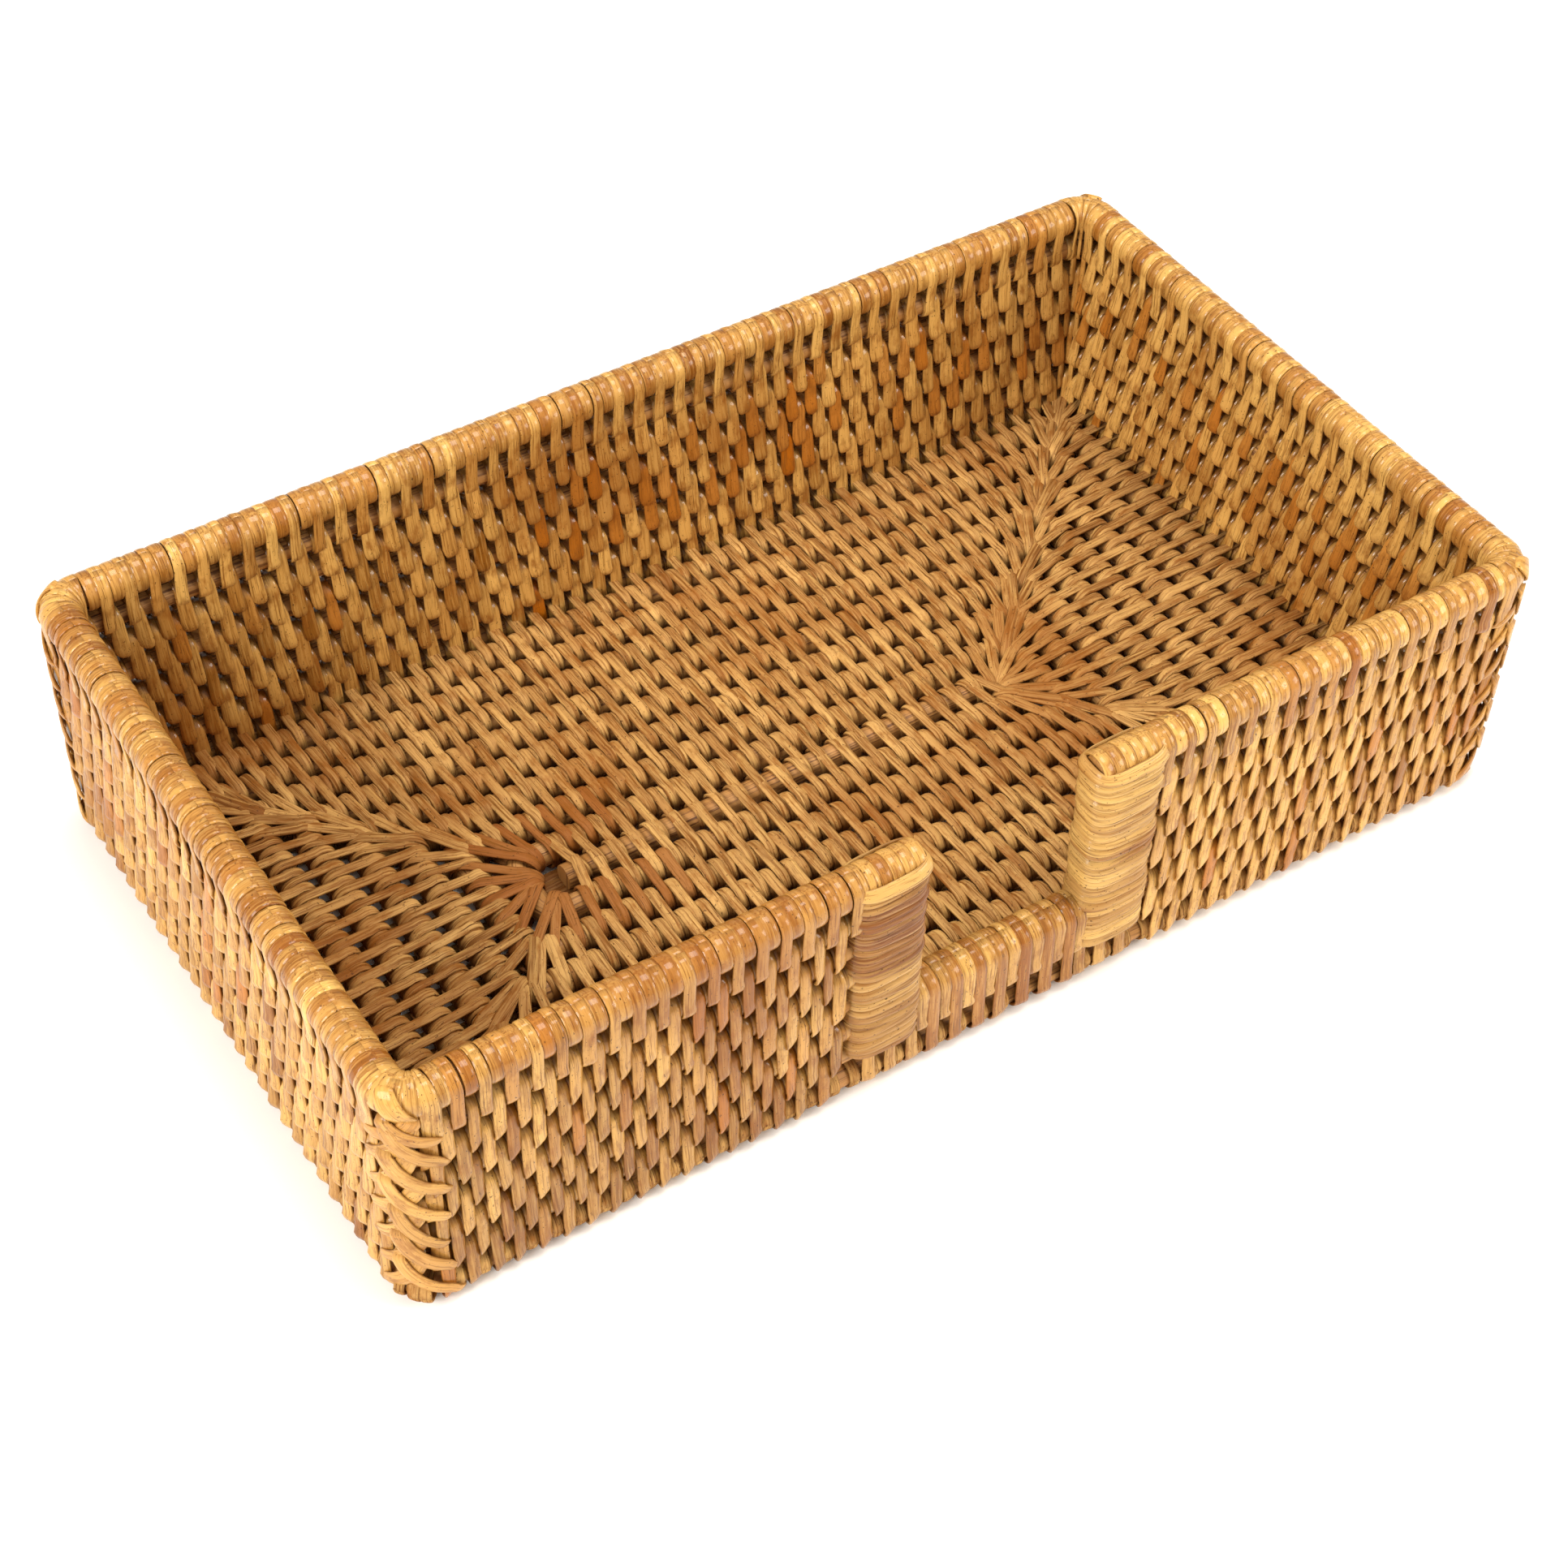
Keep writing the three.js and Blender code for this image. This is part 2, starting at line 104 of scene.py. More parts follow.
class Sweeps:
    """Many swept rods or strips gathered into one mesh. Each point keeps its place on its own
    strip (across, along, a number for the strip) and the strip's tone (light, warm, and painted
    shade where it tucks in). edge_shade is how much painted shade lies along a strip's cut edges."""

    def __init__(self, edge_shade=0.0):
        self.edge_shade = edge_shade
        self.points, self.quads, self.caps = [], [], []
        self.places, self.tones = [], []
        self.count = 0

    def add(self, line, normals, section, widths, tone, tucked=None, closed=False):
        """section: (across, out) pairs in order round the strip; widths scale the across part.
        tone is (light, warm), and tucked is the painted shade at each station, deepest where it lies
        between the rods."""
        tangents = np.gradient(line, axis=0)
        if closed:
            tangents = np.roll(line, -1, axis=0) - np.roll(line, 1, axis=0)
        tangents = unit(tangents)
        sides = unit(np.cross(tangents, normals))
        outs = np.cross(sides, tangents)
        across = section[:, 0][None, :] * widths[:, None]
        rise = np.broadcast_to(section[:, 1][None, :], across.shape)
        points = line[:, None] + sides[:, None] * across[..., None] + outs[:, None] * rise[..., None]
        steps = np.linalg.norm(np.diff(line, axis=0), axis=1)
        along = np.concatenate([[0.0], np.cumsum(steps)])
        n, m = across.shape
        first = self.count
        grid = first + np.arange(n * m).reshape(n, m)
        ahead = np.roll(grid, -1, axis=0) if closed else grid[1:]
        here = grid if closed else grid[:-1]
        quads = np.stack([here, np.roll(here, -1, 1), np.roll(ahead, -1, 1), ahead], -1)
        self.quads.append(quads.reshape(-1, 4))
        if not closed:
            self.caps.append(grid[0][::-1])
            self.caps.append(grid[-1])
        self.points.append(points.reshape(-1, 3))
        number = random.random() * 100
        place = np.stack([across, np.broadcast_to(along[:, None], across.shape),
                          np.full(across.shape, number)], -1)
        self.places.append(place.reshape(-1, 3))
        tucked = np.zeros(n) if tucked is None else tucked
        # Painted shade: a strip is darkened along its cut edges, where its neighbours shade it, and
        # where it tucks in between rods.
        edge = np.where(np.abs(section[:, 0]) > 0.95, self.edge_shade, 0.0)
        painted_shade = np.maximum(tucked[:, None], edge[None, :])
        tones = np.stack([np.full(painted_shade.shape, tone[0]), np.full(painted_shade.shape, tone[1]), painted_shade], -1)
        self.tones.append(tones.reshape(-1, 3))
        self.count += n * m

    def piece(self, name, material, slot, *replaced):
        """Makes the mesh, and has it ride on the basket in place of the CAD nodes named."""
        points = np.concatenate(self.points) * MM
        quads = np.concatenate(self.quads)
        mesh = bpy.data.meshes.new(name)
        loops = np.concatenate([quads.ravel(), *self.caps]) if self.caps else quads.ravel()
        sizes = np.array([4] * len(quads) + [len(cap) for cap in self.caps])
        starts = np.concatenate([[0], np.cumsum(sizes)[:-1]])
        mesh.vertices.add(len(points))
        mesh.vertices.foreach_set("co", points.ravel())
        mesh.loops.add(len(loops))
        mesh.loops.foreach_set("vertex_index", loops)
        mesh.polygons.add(len(sizes))
        mesh.polygons.foreach_set("loop_start", starts)
        mesh.polygons.foreach_set("use_smooth", sizes == 4)
        for title, values in (("place", self.places), ("tone", self.tones)):
            layer = mesh.attributes.new(title, "FLOAT_VECTOR", "POINT")
            layer.data.foreach_set("vector", np.concatenate(values).ravel())
        mesh.update(calc_edges=True)
        mesh.validate()
        mesh.materials.append(material)
        piece = bpy.data.objects.new(name, mesh)
        bpy.context.collection.objects.link(piece)
        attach(piece, "root")
        if replaced:
            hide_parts(*replaced)
        return piece


def srgb(code):
    """A six-digit sRGB colour as linear RGBA."""
    parts = [int(code[i:i + 2], 16) / 255 for i in (0, 2, 4)]
    return tuple(p / 12.92 if p <= 0.04045 else ((p + 0.055) / 1.055) ** 2.4 for p in parts) + (1.0,)


class Nodes:
    """A small helper that adds nodes to one material and links them."""

    def __init__(self, name):
        self.material = bpy.data.materials.new(name)
        self.material.use_nodes = True
        self.tree = self.material.node_tree
        self.shader = self.tree.nodes["Principled BSDF"]

    def add(self, kind, inputs=(), out=0, **settings):
        node = self.tree.nodes.new(kind)
        for key, value in settings.items():
            setattr(node, key, value)
        for socket, value in dict(inputs).items():
            self.put(node.inputs[socket], value)
        return node.outputs[out]

    def put(self, socket, value):
        if isinstance(value, bpy.types.NodeSocket):
            self.tree.links.new(value, socket)
        else:
            socket.default_value = value

    def maths(self, operation, a, b=0.0):
        return self.add("ShaderNodeMath", {0: a, 1: b}, operation=operation)

    def scaled(self, vector, scale):
        return self.add("ShaderNodeVectorMath", {0: vector, 1: scale}, operation="MULTIPLY")

    def noise(self, vector, scale=1.0, detail=2.0, roughness=0.5):
        return self.add("ShaderNodeTexNoise", {"Vector": vector, "Scale": scale, "Detail": detail,
                                               "Roughness": roughness})

    def span(self, value, low, high, to_low=0.0, to_high=1.0):
        return self.add("ShaderNodeMapRange", {"Value": value, "From Min": low, "From Max": high,
                                               "To Min": to_low, "To Max": to_high})

    def mix(self, amount, a, b, blend="MIX"):
        return self.add("ShaderNodeMix", {0: amount, 6: a, 7: b}, out=2, data_type="RGBA",
                        blend_type=blend)


def rattan_core():
    """Round rattan core: pale brown pith with fine dark grooves along it, thinly varnished."""
    n = Nodes("rattan core, thin clear varnish")
    place = n.add("ShaderNodeAttribute", out=1, attribute_name="place")
    tone = n.add("ShaderNodeAttribute", out=1, attribute_name="tone")
    light = n.add("ShaderNodeSeparateXYZ", {0: tone}, out=0)
    groove = n.noise(n.scaled(place, (3.4, 0.05, 1.0)), detail=3.0, roughness=0.6)
    blotch = n.noise(n.scaled(place, (0.25, 0.12, 1.0)), detail=2.0)
    colour = n.mix(light, srgb("a06a32"), srgb("d8a562"))
    colour = n.mix(n.span(blotch, 0.35, 0.7), colour, srgb("ac7434"))
    colour = n.mix(n.span(groove, 0.50, 0.36), colour, srgb("64390f"))
    n.put(n.shader.inputs["Base Color"], colour)
    n.put(n.shader.inputs["Roughness"], 0.6)
    bump = n.add("ShaderNodeBump", {"Height": groove, "Strength": 0.8, "Distance": 0.15 * MM})
    n.put(n.shader.inputs["Normal"], bump)
    return n.material


ROD_SIDES = 20
ROUND = np.array([[math.cos(a), math.sin(a)]
                  for a in np.linspace(0, 2 * math.pi, ROD_SIDES, False)])
CORE = rattan_core()


def add_rod(name, line, radius, side, seed):
    """One round rod along a line, in place of the CAD rod of that name."""
    random.seed(seed)
    sweeps = Sweeps()
    widths = np.full(len(line), radius)
    section = ROUND * [1.0, radius]
    normals = np.broadcast_to(side, line.shape)
    sweeps.add(line, normals, section, widths, (random.uniform(0.35, 0.6), 0.0))
    return sweeps.piece(f"{name}_bare", CORE, "rattan_rod", name)


def coil_corners():
    """The spiral's corners, from the cut end in the left fan outwards."""
    corners = [(LEFT_FAN, 0.0)]
    for number in range(1, PASSES + 1):
        right = RIGHT_FAN + (number - 0.5) * FLOOR_PITCH
        left = LEFT_FAN - number * FLOOR_PITCH
        corners += [(right, (number - 1) * FLOOR_PITCH), (right, -number * FLOOR_PITCH),
                    (left, -number * FLOOR_PITCH), (left, number * FLOOR_PITCH)]
    last = RIGHT_FAN + (PASSES + 0.5) * FLOOR_PITCH
    corners += [(last, PASSES * FLOOR_PITCH), (last, coil_low[1])]
    return [(x, y, FLOOR_Z) for x, y in corners]


def coil_lengths():
    """The coil's corners for each length of rod, spliced in the middle of a rear pass."""
    corners = coil_corners()
    splices = [3, 6]
    starts = [0] + [4 * number + 1 for number in splices]
    ends = starts[1:] + [len(corners)]
    lengths = []
    for index, (start, end) in enumerate(zip(starts, ends)):
        stretch = corners[start:end]
        if index > 0:
            stretch = [(SPLICE_GAP / 2, splices[index - 1] * FLOOR_PITCH, FLOOR_Z)] + stretch
        if index < len(splices):
            stretch = stretch + [(-SPLICE_GAP / 2, splices[index] * FLOOR_PITCH, FLOOR_Z)]
        lengths.append(stretch)
    return lengths


for index, stretch in enumerate(coil_lengths(), 1):
    add_rod(f"floor_coil_rod_{index}", bent_line(stretch, FLOOR_BEND), ROD_RADIUS, UP, index)


# ---- Wall courses ------------------------------------------------------------------------------
# Seven round rods stacked under the rim, bent tightly at the corners. The two lowest run all
# round; the five above stop inside the bindings beside the cut-out.

COURSES = 7
WHOLE_COURSES = 2       # the lowest ones, which run all round
COURSE_BEND = 4.5
COURSE_Z = {k: rod_middle(f"wall_course_rod_{k}")[0] for k in range(1, COURSES + 1)}
COURSE_PITCH = COURSE_Z[2] - COURSE_Z[1]
wall_high = node_box("wall_course_rod_4")[1]
HALF_X = wall_high[0] - ROD_RADIUS
HALF_Y = wall_high[1] - ROD_RADIUS
post_low, post_high = node_box("post_binding_right")
POST_IN = post_low[0]
POST_OUT = post_high[0]
COURSE_JOIN = HALF_X - 20           # where the whole courses close
COURSE_END = POST_IN + 7.2          # where the others stop, inside the posts


def round_the_wall(start_x, end_x, height):
    """The corners of a line from start_x on the front wall clockwise round to end_x."""
    corners = [(start_x, -HALF_Y), (-HALF_X, -HALF_Y), (-HALF_X, HALF_Y), (HALF_X, HALF_Y),
               (HALF_X, -HALF_Y), (end_x, -HALF_Y)]
    return [(x, y, height) for x, y in corners]


for k, height in COURSE_Z.items():
    start, end = -COURSE_END, COURSE_END
    if k <= WHOLE_COURSES:
        start, end = COURSE_JOIN, COURSE_JOIN + SPLICE_GAP
    line = bent_line(round_the_wall(start, end, height), COURSE_BEND)
    add_rod(f"wall_course_rod_{k}", line, ROD_RADIUS, UP, 10 + k)


# ---- Rim rod and cut-out rod -------------------------------------------------------------------
# Two thicker rods: one runs round the top and stops at both sides of the cut-out, the other is
# bent to a U that forms the sill and stands inside both posts.

RIM_Z, RIM_RADIUS = rod_middle("rim_rod")
RIM_BEND = 5.0          # at the basket's corners and at the sill's
RIM_END = POST_IN + 1.1
rim_line = bent_line(round_the_wall(-RIM_END, RIM_END, RIM_Z), RIM_BEND)
add_rod("rim_rod", rim_line, RIM_RADIUS, UP, 21)

u_low, u_high = node_box("cutout_frame_rod")
u_x = u_high[0] - RIM_RADIUS
SILL_Z = u_low[2] + RIM_RADIUS
u_corners = [(-u_x, -HALF_Y, u_high[2]), (-u_x, -HALF_Y, SILL_Z),
             (u_x, -HALF_Y, SILL_Z), (u_x, -HALF_Y, u_high[2])]
add_rod("cutout_frame_rod", bent_line(u_corners, RIM_BEND), RIM_RADIUS,
        np.array([0.0, 1.0, 0.0]), 22)


# ---- Floor stitches ----------------------------------------------------------------------------
# Flat strips of rattan peel. A long stitch goes round its own rod and the pass inside it, and
# the next column's long stitch sits one pass further on, so the strips lie like bricks.

COLUMN = 2.33           # spacing of neighbouring columns of stitches
STRIP_THICKNESS = 0.5
STRIP_EDGE = 0.55       # painted shade along a strip's cut edges, where its neighbours shade it
STRIP = np.array([(-1.0, -0.22), (-0.92, -0.05), (-0.45, 0.07), (0.45, 0.07), (0.92, -0.05),
                  (1.0, -0.22), (0.9, -STRIP_THICKNESS), (-0.9, -STRIP_THICKNESS)])
AGED_CANE = (0.83, 0.83, 0.83, 1.0)     # darkens every strip by the same share
STAIN_PATCH = 38 * MM                   # size of the stains that spread over several strips


def strip_surface(name, dark, pale, orange, roughness, varnish, grain=0.5, stain_along=0.20):
    """Rattan peel: glossy skin with fibres along it, brown stains, small knots, and painted shade
    where a strip tucks in between two rods and along its cut edges. A strip's tone mixes its
    colour from dark, pale and orange, and grain is the strength of the fibres."""
    n = Nodes(name)
    place = n.add("ShaderNodeAttribute", out=1, attribute_name="place")
    tone = n.add("ShaderNodeAttribute", out=1, attribute_name="tone")
    parts = n.tree.nodes.new("ShaderNodeSeparateXYZ")
    n.put(parts.inputs[0], tone)
    light, warm, tucked = parts.outputs
    fibre = n.noise(n.scaled(place, (2.4, 0.10, 1.0)), detail=3.0, roughness=0.6)
    line = n.noise(n.scaled(place, (7.0, 0.14, 1.7)), detail=2.0)
    stain = n.noise(n.scaled(place, (0.45, stain_along, 0.9)), detail=3.0, roughness=0.6)
    speck = n.noise(n.scaled(place, (2.4, 1.5, 3.1)), detail=2.0, roughness=0.6)
    colour = n.mix(light, srgb(dark), srgb(pale))
    colour = n.mix(n.span(fibre, 0.45, 0.72, 0.0, 0.7 * grain), colour, srgb("efbe6e"))
    colour = n.mix(warm, colour, srgb(orange))
    colour = n.mix(n.span(fibre, 0.48, 0.30, 0.0, 1.1 * grain), colour, srgb("7f4e18"))
    colour = n.mix(n.span(stain, 0.50, 0.70, 0.0, 0.75), colour, srgb("96591c"))
    colour = n.mix(n.span(line, 0.38, 0.28, 0.0, 1.2 * grain), colour, srgb("5d3413"))
    spot = n.add("ShaderNodeTexCoord", out=3)
    patch = n.noise(spot, scale=1 / STAIN_PATCH, detail=3.0)
    colour = n.mix(n.span(patch, 0.52, 0.68, 0.0, 0.5), colour, srgb("96520f"))
    colour = n.mix(n.span(speck, 0.64, 0.72, 0.0, 0.85), colour, srgb("4a2a12"))
    # Painted shade: darkens a strip where it tucks in between two rods and along its cut edges.
    colour = n.mix(n.maths("MULTIPLY", tucked, 0.75), colour, srgb("5a2e06"))
    colour = n.mix(1.0, colour, AGED_CANE, "MULTIPLY")
    n.put(n.shader.inputs["Base Color"], colour)
    n.put(n.shader.inputs["Roughness"], n.span(fibre, 0.3, 0.7, roughness + 0.1, roughness - 0.06))
    n.put(n.shader.inputs["Specular IOR Level"], 0.14)
    n.put(n.shader.inputs["Coat Weight"], varnish)
    n.put(n.shader.inputs["Coat Roughness"], 0.12)
    bump = n.add("ShaderNodeBump", {"Height": fibre, "Strength": 0.8, "Distance": 0.2 * grain * MM})
    n.put(n.shader.inputs["Normal"], bump)
    return n.material


def loop_profile(distance, near, far, near_lift, far_lift):
    """One face of a loop round two rods, from the gap past the near rod to the gap past the far
    one: (along the loop's plane from the near rod, out of the plane) pairs."""
    turn = np.radians([90, 66, 44, 24, 6])
    head = near + STRIP_THICKNESS
    start = np.stack([head * np.sin(turn), (head + near_lift) * np.cos(turn)], -1)
    turn = np.radians([-22, 0, 20, 38, 56, 74, 90])
    tail = far + STRIP_THICKNESS
    lifted = tail + far_lift * np.cos(turn * 0.9)
    end = np.stack([-distance - tail * np.sin(turn), lifted * np.cos(turn) ** 0.85], -1)
    return np.concatenate([start, end])


def stitch(sweeps, near, far, out, width, tone, lean=0.0, dive=0.0, inner_lean=0.0, roll=(0.0, 0.0),
           radii=None, lifts=(0.0, 0.5), taper=0.22, tucks=(1.0, 1.0), spread=None, oblique=False,
           rounding=0.0, belly=0.0):
    """A strip looped round two rods. near and far are points on their centre lines and out is the
    face's direction. lean moves the strip's far end sideways on the face, dive moves it on as
    it turns in under the far rod, and inner_lean is the same as lean on the other face. roll
    lifts one edge of the strip's far end, by an angle for each face, and lifts raises its two
    ends off the rods. taper widens the strip towards its far end, rounding narrows the tip,
    belly widens its middle, and tucks scales the painted shade and the narrowing at its two
    ends. An oblique loop is stretched where its rods are further apart than the courses."""
    near, far, out = np.array(near, float), np.array(far, float), np.array(out, float)
    distance = np.linalg.norm(near - far)
    up = (near - far) / distance
    side = np.cross(up, out)
    near_radius, far_radius = radii or (ROD_RADIUS, ROD_RADIUS)
    stretch = max(1.0, distance / COURSE_PITCH) if oblique else 1.0
    face = loop_profile(distance / stretch, near_radius, far_radius, *lifts)
    face[:, 0] *= stretch
    flat = np.concatenate([face, face[::-1] * [1.0, -1.0]])
    half = len(face)
    down = (flat[0, 0] - flat[:, 0]) / np.ptp(flat[:, 0])
    turning = np.clip(down - 0.6, 0, 1) / 0.4
    sideways = lean * down + 0.5 * dive * turning ** 2
    sideways[half:] = (lean + dive - inner_lean * (1 - down) - 0.5 * dive * turning ** 2)[half:]
    centres = near + flat[:, :1] * up + flat[:, 1:] * out + sideways[:, None] * side
    ahead = np.gradient(flat, axis=0)
    normals = unit(ahead[:, :1] * -out + ahead[:, 1:] * up)
    outer_face = np.arange(2 * half) < half
    rolling = np.clip(down / 0.8, 0, 1) ** 2 * np.where(outer_face, roll[0], roll[1])
    turned = np.radians(rolling + random.gauss(0, 4.0))
    normals = unit(normals + side * np.tan(turned)[:, None])
    hidden = 1 - np.clip((np.abs(flat[:, 1]) - 0.3) / 1.7, 0, 1)
    hidden = hidden * np.where(flat[:, 0] > 0, *tucks)
    widths = width / 2 * (1 + taper * (down - 0.55) - 0.12 * hidden ** 2)
    widths = widths * (1 - rounding * np.clip(down / 0.2 - 4, 0, 1) ** 1.5)
    widths = widths * (1 + belly * np.sin(math.pi * down) ** 2)
    if spread is not None:
        widths = widths * spread(flat)
    widths = widths * (1 + 0.04 * np.sin(np.arange(2 * half) * 0.9 + random.random() * 6))
    # Painted shade: the strip is darkened where it lies deep between the rods.
    sweeps.add(centres, normals, STRIP, widths, tone, tucked=hidden ** 1.5)


def single_loop(sweeps, centre, out, radius, width, tone, spread=None, up=UP, stations=20):
    """A strip wound once round one rod."""
    turns = np.linspace(0, 2 * math.pi, stations, False)
    flat = np.stack([np.cos(turns), np.sin(turns)], -1) * radius
    out = np.array(out, float)
    centres = centre + flat[:, :1] * up + flat[:, 1:] * out
    normals = unit(flat[:, :1] * up + flat[:, 1:] * out)
    widths = np.full(len(turns), width / 2)
    if spread is not None:
        widths = widths * spread(flat)
    # Painted shade: the side of the loop that faces away from up is darkened, where it lies in
    # between the rods.
    below = np.clip((-flat[:, 0] / radius - 0.55) / 0.45, 0, 1)
    sweeps.add(centres[::-1], normals[::-1], STRIP, widths[::-1], tone, tucked=below[::-1],
               closed=True)


def short_stitch(sweeps, place, inward, width=2.55, out=UP):
    """A strip wound once round one rod under a long stitch's end."""
    inward = unit(np.array(inward, float))
    single_loop(sweeps, np.array(place, float), out, ROD_RADIUS + STRIP_THICKNESS * 0.8, width,
                tone_of(0.5, 0.15), up=inward, stations=12)


def soft_clamp(value, low, high, softness):
    """Keeps a value between two ends, with a gradual turn instead of a corner."""
    value = (value + low + math.hypot(value - low, softness)) / 2
    return (value + high - math.hypot(value - high, softness)) / 2


def tone_of(light, spread, warm=0.0, warm_spread=0.1):
    """A strip's light and warm tones, each from 0 to 1 and scattered round a middle value."""
    return (min(max(random.gauss(light, spread), 0.0), 1.0),
            min(max(random.gauss(warm, warm_spread), 0.0), 1.0))


def floor_stitch(sweeps, near, far, number, light, closed=False):
    """A long stitch from pass number to the pass inside it. A closed one goes round the wall's
    lowest course, where its end stays in sight."""
    reddish = fan_patch(near, number)
    tone = tone_of(light, 0.18, 0.04 + 0.72 * reddish, 0.06)
    lift = random.uniform(0.0, 0.2)
    lean, dive = (0.0, 0.0) if closed else (random.gauss(0.2, 0.25), 0.5)
    inner_lean = 0.0 if closed else random.gauss(-0.6, 0.2)
    stitch(sweeps, near, far, UP, random.gauss(2.22, 0.13), tone, lean=lean, dive=dive,
           inner_lean=inner_lean, lifts=(0.05 + lift, 0.2 + lift), taper=0.06,
           tucks=(0.0 if closed else 1.0, 1.0), oblique=True)


FIELD_INSET = 1.2       # least distance from a mitre to the middle of a stitch


def floor_field(name, outer_ends, inner_ends, point, numbers, fans, light):
    """The stitches of one mitred quarter of the floor. point(number, s) is a place on pass
    number, and the two ends give how far that pass and the one inside it run to each side.
    fans: for a pass, the middle of its fan and how much narrower it is at the inner end."""
    sweeps = Sweeps(STRIP_EDGE)
    last_pass = PASSES + 1 if name == "right" else PASSES
    for number in numbers:
        low, high = outer_ends(number)
        in_low, in_high = inner_ends(number)
        columns = range(math.ceil((low + FIELD_INSET) / COLUMN),
                        math.floor((high - FIELD_INSET) / COLUMN) + 1)
        for column in columns:
            if (column + number) % 2:
                continue
            s = column * COLUMN + random.gauss(0, 0.16)
            softness = {2: 6.0, 3: 5.5}.get(number, 4.5)
            inner = soft_clamp(s, in_low, in_high, softness)
            if number in fans:
                centre, narrowing = fans[number]
                inner = centre + (s - centre) * narrowing
            floor_stitch(sweeps, point(number, s), point(number - 1, inner), number, light,
                         closed=number > last_pass)
            beside = point(number, s + COLUMN)
            if number <= last_pass and s + COLUMN < high:
                short_stitch(sweeps, beside, np.subtract(point(number - 1, s), point(number, s)))
    if name == "front":
        starting_ends(sweeps)
    for corner in MITRES.get(name, []):
        mitre_stitches(sweeps, corner, range(2, PASSES + 2), light)
    sweeps.piece(f"floor_stitches_{name}", FLOOR_STRIP, "floor_strip", f"floor_weave_{name}")


def fan_patch(place, number):
    """1 on the stretch of red-brown strip round the coil's cut end, 0 elsewhere."""
    reach = 14 if place[1] > 0 else 19
    return 1.0 if number == 2 and place[0] < LEFT_FAN + reach else 0.0


FLOOR_STRIP = strip_surface("rattan peel, dry floor strips",
                            "865224", "dcaa66", "9a5622", 0.6, 0.0, 1.0)


def left_end(number):
    """How far a pass runs to the left."""
    return LEFT_FAN - number * FLOOR_PITCH


def right_front(number):
    """How far a pass's front side runs to the right."""
    return RIGHT_FAN + (number - 0.5) * FLOOR_PITCH


def right_back(number):
    """How far its rear side does: one pass further, where the coil steps out."""
    return RIGHT_FAN + (number + 0.5) * FLOOR_PITCH


def cross_x(number):
    """Where the right-hand crossing lies; the last one is the wall's own lowest course."""
    return min(right_front(number), HALF_X)


MITRES = {
    "left": [lambda n: (left_end(n), n * FLOOR_PITCH, FLOOR_Z),
             lambda n: (left_end(n), -n * FLOOR_PITCH, FLOOR_Z)],
    "right": [lambda n: (min(right_back(n), HALF_X), n * FLOOR_PITCH, FLOOR_Z),
              lambda n: (cross_x(n), -n * FLOOR_PITCH, FLOOR_Z)],
}
MITRE_SHIFT = 2.6       # from a bend to a mitre stitch's outer end, by turns on either side


def mitre_stitches(sweeps, corner, numbers, light):
    """One stitch across each mitre, from the bend of a pass to the bend of the pass inside it."""
    for number in numbers:
        near, far = np.array(corner(number)), np.array(corner(number - 1))
        cut = unit(far - near) * (math.sqrt(2) - 1)
        outermost = number > PASSES
        near = near + cut * (COURSE_BEND if outermost else FLOOR_BEND)
        far = far + cut * FLOOR_BEND
        raised = np.array([0, 0, 0.0 if outermost else 0.25])
        if not outermost and number > 2:
            inward = -np.sign(near - (0, 0, FLOOR_Z)) * [1, 1, 0]
            near = near + inward * ([MITRE_SHIFT, 0, 0] if number % 2 else [0, MITRE_SHIFT, 0])
        floor_stitch(sweeps, near + raised, far + raised, number, light, closed=outermost)


START_Z = 1.55          # height of the first strips' ends


def starting_ends(sweeps):
    """The first strips' ends, laid flat under the cut end of the coil."""
    steps = np.linspace(-5.5, 6.0, 8)
    count = len(steps)
    for across in (-3.2, -1.1, 1.0, 3.1):
        height = START_Z + 0.1 * np.cos(steps)
        line = np.stack([LEFT_FAN + steps, np.full(count, across), height], -1)
        # Painted shade: the ends are darkened where they lie under the coil's cut end.
        sweeps.add(line, np.broadcast_to(UP, line.shape), STRIP, np.full(count, 1.2),
                   (0.1, 0.4), tucked=np.full(count, 0.7))


random.seed(101)
floor_field("front",
            lambda n: (left_end(n) if n > 1 else LEFT_FAN - 2, min(right_front(n), HALF_X)),
            lambda n: (left_end(n - 1), right_front(n - 1) if n > 1 else RIGHT_FAN),
            lambda n, s: (s, -n * FLOOR_PITCH, FLOOR_Z), range(1, PASSES + 2), {}, 0.62)
floor_field("back",
            lambda n: (left_end(n) if n > 1 else LEFT_FAN - 1, min(right_back(n), HALF_X)),
            lambda n: (left_end(n - 1), right_back(n - 1)),
            lambda n, s: (s, n * FLOOR_PITCH, FLOOR_Z), range(1, PASSES + 2), {}, 0.5)
floor_field("left",
            lambda n: (-n * FLOOR_PITCH, n * FLOOR_PITCH),
            lambda n: (-(n - 1) * FLOOR_PITCH, (n - 1) * FLOOR_PITCH),
            lambda n, s: (left_end(n), s, FLOOR_Z), range(2, PASSES + 2),
            {2: (0.0, 0.3)}, 0.45)
floor_field("right",
            lambda n: (-min(n * FLOOR_PITCH, HALF_Y), (n - 1) * FLOOR_PITCH),
            lambda n: (-(n - 1) * FLOOR_PITCH, (n - 2) * FLOOR_PITCH),
            lambda n, s: (cross_x(n), s, FLOOR_Z), range(2, PASSES + 3),
            {2: (-FLOOR_PITCH / 2, 0.35)}, 0.5)


# ---- Wall stitches -----------------------------------------------------------------------------
# The same long and short stitch, up the walls: each long stitch holds a course to the one
# below it, and on both faces the columns are staggered by one course.

WALL_STRIP = strip_surface("rattan peel, varnished wall strips",
                           "8f560f", "ecb661", "bb680c", 0.42, 0.5, 0.68)


